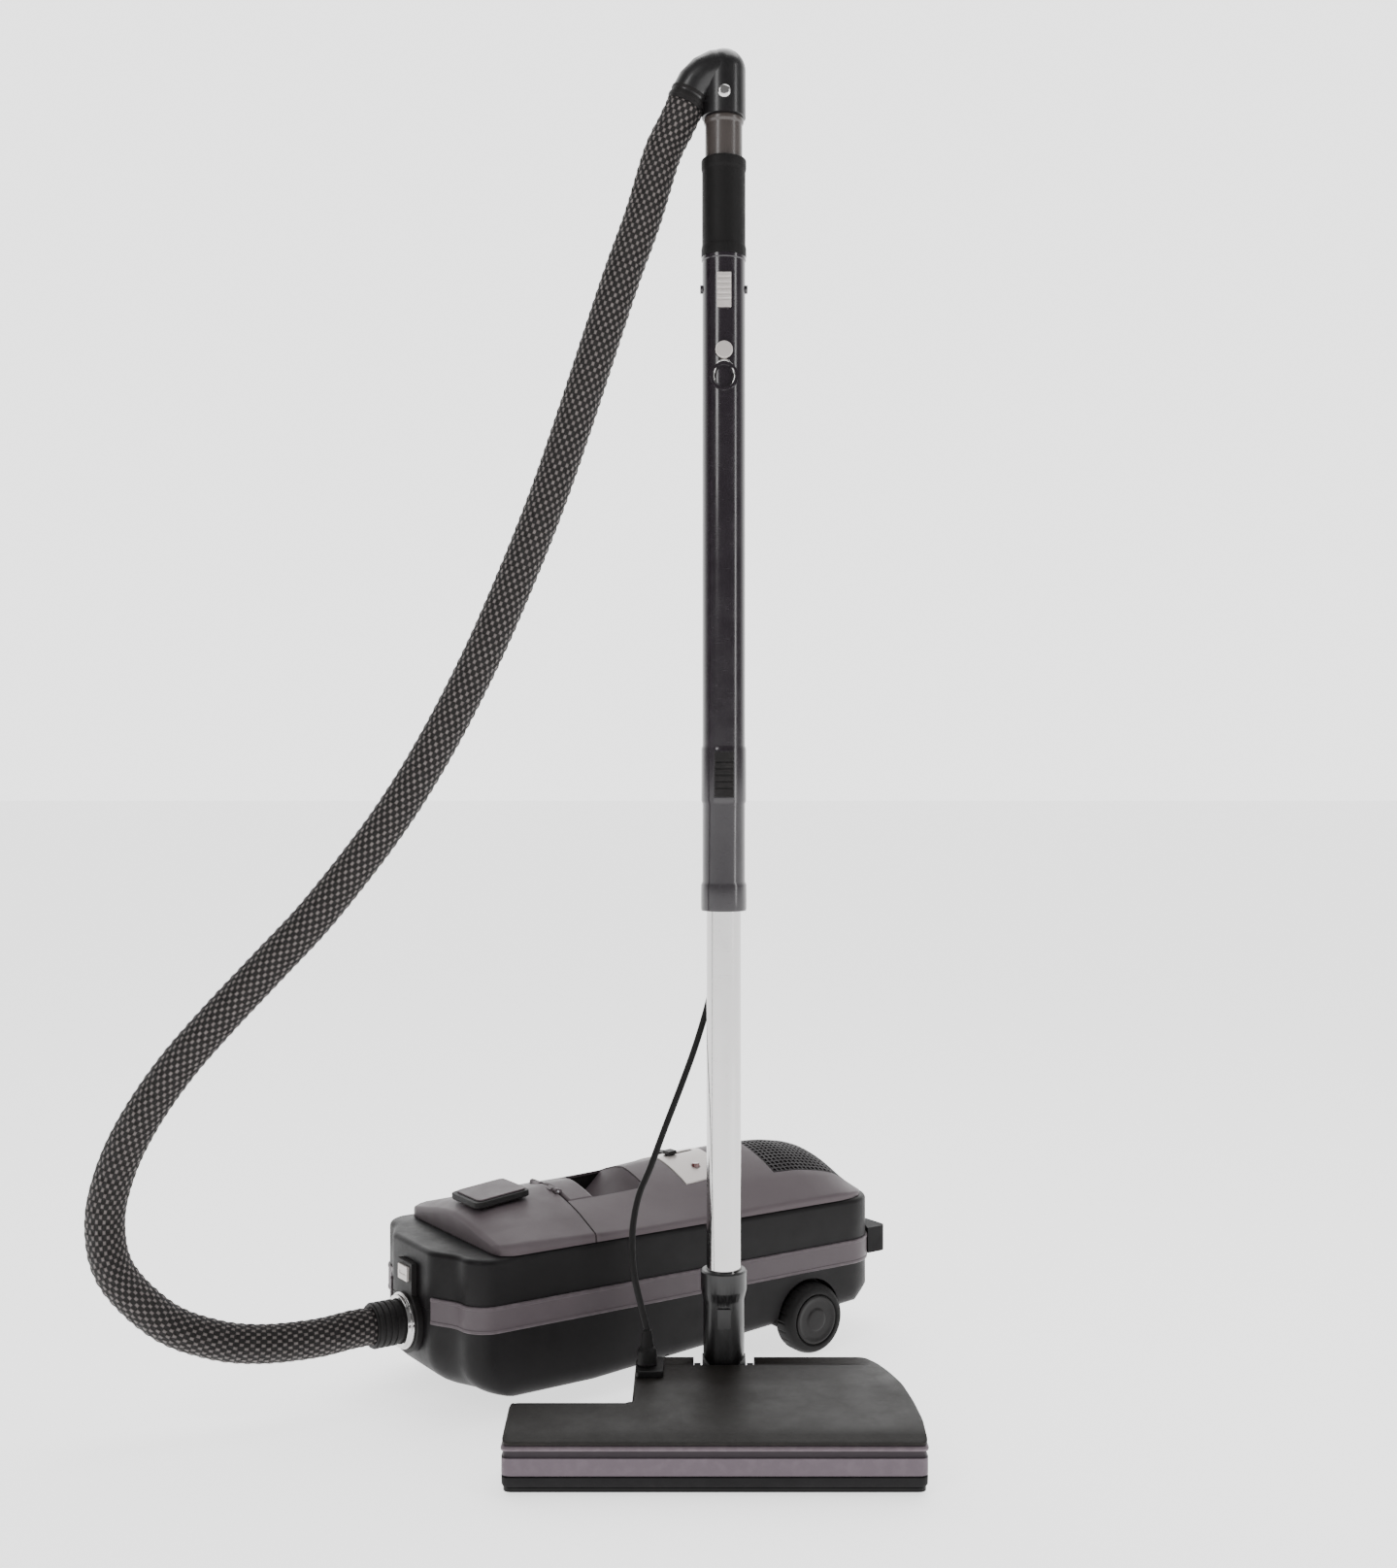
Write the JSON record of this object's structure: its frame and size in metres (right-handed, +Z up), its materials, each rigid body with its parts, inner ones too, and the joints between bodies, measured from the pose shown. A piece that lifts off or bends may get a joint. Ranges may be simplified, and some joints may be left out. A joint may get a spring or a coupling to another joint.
{
  "type": "canister vacuum cleaner",
  "caption": "Canister vacuum cleaner on wheels with a motorised floor nozzle, an upright telescopic wand with a swivel elbow, and a braided suction hose.",
  "frame": {"origin": "on the floor, under the middle of the cleaner's bounding box without its hose and cord", "axes": "+Z up, along the wand; -Y is the way the nozzle's front faces; +X is to the right seen from the nozzle's front"},
  "size_m": [0.7527, 0.5961, 1.275],
  "materials": {
    "housing_black": "moulded plastic, fine grain, low sheen",
    "soft_black": "moulded plastic, satin",
    "gloss_black": "moulded plastic, glossy",
    "cover_mauve": "moulded mauve-grey plastic, fine grain",
    "band_mauve": "mauve-grey trim strip, satin",
    "bumper_rubber": "soft black bumper",
    "silver_plastic": "silver painted plastic",
    "chrome": "bright chrome plating",
    "steel": "turned steel",
    "aluminium": "pressed aluminium",
    "red_lens": "tinted lens",
    "grille_black": "perforated plastic",
    "filter_white": "pleated filter felt",
    "seal_rubber": "soft rubber",
    "bag_paper": "brown filter paper",
    "card": "pressed cardboard",
    "white_plastic": "natural nylon",
    "wheel_rubber": "soft tyre",
    "hubcap_black": "satin hub cap",
    "hose_braid": "woven braid over a wire-wound hose",
    "nozzle_black": "moulded plastic",
    "nozzle_top": "moulded plastic, warm black",
    "nozzle_bumper": "purple-grey furniture guard",
    "brush": "brush roll with bristle tufts",
    "cord_black": "vinyl jacket",
    "sheath": "extruded sheath, glossy",
    "grip_black": "hand grip, glossy",
    "elbow_brown": "brown-black moulded plastic"
  },
  "bodies": {
    "root": {"lower_housing": "housing_black", "upper_housing": "housing_black", "trim_band": "band_mauve", "rear_bumper": "bumper_rubber", "port_plate": "soft_black", "port_ring": "chrome", "inlet_duct": "soft_black", "top_cover": "cover_mauve", "carry_handle": "cover_mauve", "control_panel": "silver_plastic", "indicator_lens": "red_lens", "exhaust_grille": "grille_black", "exhaust_filter": "filter_white", "hood_hinge_pin": "steel", "hood_gasket": "seal_rubber", "dust_bag": "bag_paper", "bag_collar": "card", "motor_filter": "filter_white", "motor_bulkhead": "soft_black", "suction_motor": "steel", "motor_mounts": "seal_rubber", "reel_bracket": "soft_black", "cord_gland": "seal_rubber", "housing_screws": "steel", "rear_axle": "steel", "hose": "hose_braid", "nozzle_base": "nozzle_black", "nozzle_cover": "nozzle_top", "nozzle_bumper": "nozzle_bumper", "nozzle_motor": "steel", "drive_belt": "seal_rubber", "brush_bearings": "white_plastic", "cord_plug": "cord_black", "nozzle_cord": "cord_black"},
    "hood": {"bag_hood": "cover_mauve"},
    "latch": {"hood_latch": "soft_black"},
    "slider": {"power_slider": "soft_black"},
    "rewind": {"rewind_button": "soft_black"},
    "port_button": {"hose_release_button": "silver_plastic"},
    "fan": {"fan_rotor": "aluminium"},
    "reel": {"cord_reel": "white_plastic"},
    "wheel_left": {"rear_wheel_left": "wheel_rubber", "hubcap_left": "hubcap_black"},
    "wheel_right": {"rear_wheel_right": "wheel_rubber", "hubcap_right": "hubcap_black"},
    "caster": {"caster_fork": "steel"},
    "caster_roller": {"caster_wheel": "wheel_rubber"},
    "connector": {"hose_connector": "soft_black"},
    "brush": {"brush_roll": "brush"},
    "pulley": {"motor_pulley": "steel"},
    "nozzle_wheels": {"nozzle_axle": "wheel_rubber"},
    "wand": {"neck": "gloss_black", "wand_sheath": "sheath", "hand_grip": "grip_black", "swivel_elbow": "elbow_brown"},
    "tube": {"lower_tube": "chrome"},
    "lock": {"length_lock": "soft_black"},
    "button": {"release_button": "silver_plastic"},
    "bleed": {"suction_slide": "silver_plastic"},
    "cuff": {"hose_cuff": "soft_black"}
  },
  "joints": [
    {"name": "hood_hinge", "type": "hinge", "parent": "root", "child": "hood", "pos_m": [-0.09402, 0.01793, 0.1855], "axis": [-0.5592, 0.829, 0], "range_deg": [0, 70]},
    {"name": "latch_slide", "type": "slide", "parent": "hood", "child": "latch", "axis": [-0.8237, -0.5556, -0.1132], "range_m": [0, 0.008], "stiffness_N_per_m": 300, "springref_m": -0.001},
    {"name": "power_slide", "type": "slide", "parent": "root", "child": "slider", "axis": [0.8264, 0.5574, 0.0802], "range_m": [0, 0.02]},
    {"name": "rewind_press", "type": "slide", "parent": "root", "child": "rewind", "axis": [0, 0, -1], "range_m": [0, 0.003], "stiffness_N_per_m": 400, "springref_m": -0.0005},
    {"name": "port_button_press", "type": "slide", "parent": "root", "child": "port_button", "axis": [0.829, 0.5592, 0], "range_m": [0, 0.002], "stiffness_N_per_m": 400, "springref_m": -0.0005},
    {"name": "fan_spin", "type": "hinge", "parent": "root", "child": "fan", "pos_m": [-0.002, 0.08, 0.092], "axis": [0.829, 0.5592, 0], "continuous": true},
    {"name": "reel_spin", "type": "hinge", "parent": "root", "child": "reel", "pos_m": [0.14308, 0.17786, 0.12], "axis": [0, 0, 1], "continuous": true},
    {"name": "wheel_left_spin", "type": "hinge", "parent": "root", "child": "wheel_left", "pos_m": [0.11904, 0.16164, 0.036], "axis": [-0.5592, 0.829, 0], "continuous": true},
    {"name": "wheel_right_spin", "type": "hinge", "parent": "root", "child": "wheel_right", "pos_m": [0.11904, 0.16164, 0.036], "axis": [-0.5592, 0.829, 0], "continuous": true},
    {"name": "caster_swivel", "type": "hinge", "parent": "root", "child": "caster", "pos_m": [-0.13879, -0.01227, 0.046], "axis": [0, 0, 1], "continuous": true},
    {"name": "caster_roll", "type": "hinge", "parent": "caster", "child": "caster_roller", "pos_m": [-0.12884, -0.00556, 0.015], "axis": [-0.5592, 0.829, 0], "continuous": true},
    {"name": "connector_swivel", "type": "hinge", "parent": "root", "child": "connector", "pos_m": [-0.23413, -0.07657, 0.077], "axis": [0.829, 0.5592, 0], "continuous": true},
    {"name": "brush_spin", "type": "hinge", "parent": "root", "child": "brush", "pos_m": [0.085, -0.267, 0.024], "axis": [1, 0, 0], "continuous": true},
    {"name": "pulley_spin", "type": "hinge", "parent": "root", "child": "pulley", "pos_m": [0.085, -0.194, 0.034], "axis": [1, 0, 0], "continuous": true},
    {"name": "nozzle_wheels_roll", "type": "hinge", "parent": "root", "child": "nozzle_wheels", "pos_m": [0.085, -0.149, 0.015], "axis": [1, 0, 0], "continuous": true},
    {"name": "wand_tilt", "type": "hinge", "parent": "root", "child": "wand", "pos_m": [0.085, -0.124, 0.044], "axis": [-1, 0, 0], "range_deg": [0, 40], "deforming": ["hose", "nozzle_cord"]},
    {"name": "tube_slide", "type": "slide", "parent": "wand", "child": "tube", "axis": [0, 0, 1], "range_m": [0, 0.15]},
    {"name": "lock_press", "type": "slide", "parent": "wand", "child": "lock", "axis": [0, 1, 0], "range_m": [0, 0.0015], "stiffness_N_per_m": 600, "springref_m": -0.0003},
    {"name": "button_press", "type": "slide", "parent": "wand", "child": "button", "axis": [0, 1, 0], "range_m": [0, 0.0015], "stiffness_N_per_m": 600, "springref_m": -0.0003},
    {"name": "bleed_slide", "type": "slide", "parent": "wand", "child": "bleed", "axis": [0, 0, -1], "range_m": [0, 0.012]},
    {"name": "cuff_swivel", "type": "hinge", "parent": "wand", "child": "cuff", "pos_m": [0.049, -0.124, 1.222], "axis": [-0.4305, 0, -0.9026], "continuous": true}
  ],
  "couplings": [
    {"joint": "pulley_spin", "follows": "brush_spin", "ratio": 1.8571}
  ]
}
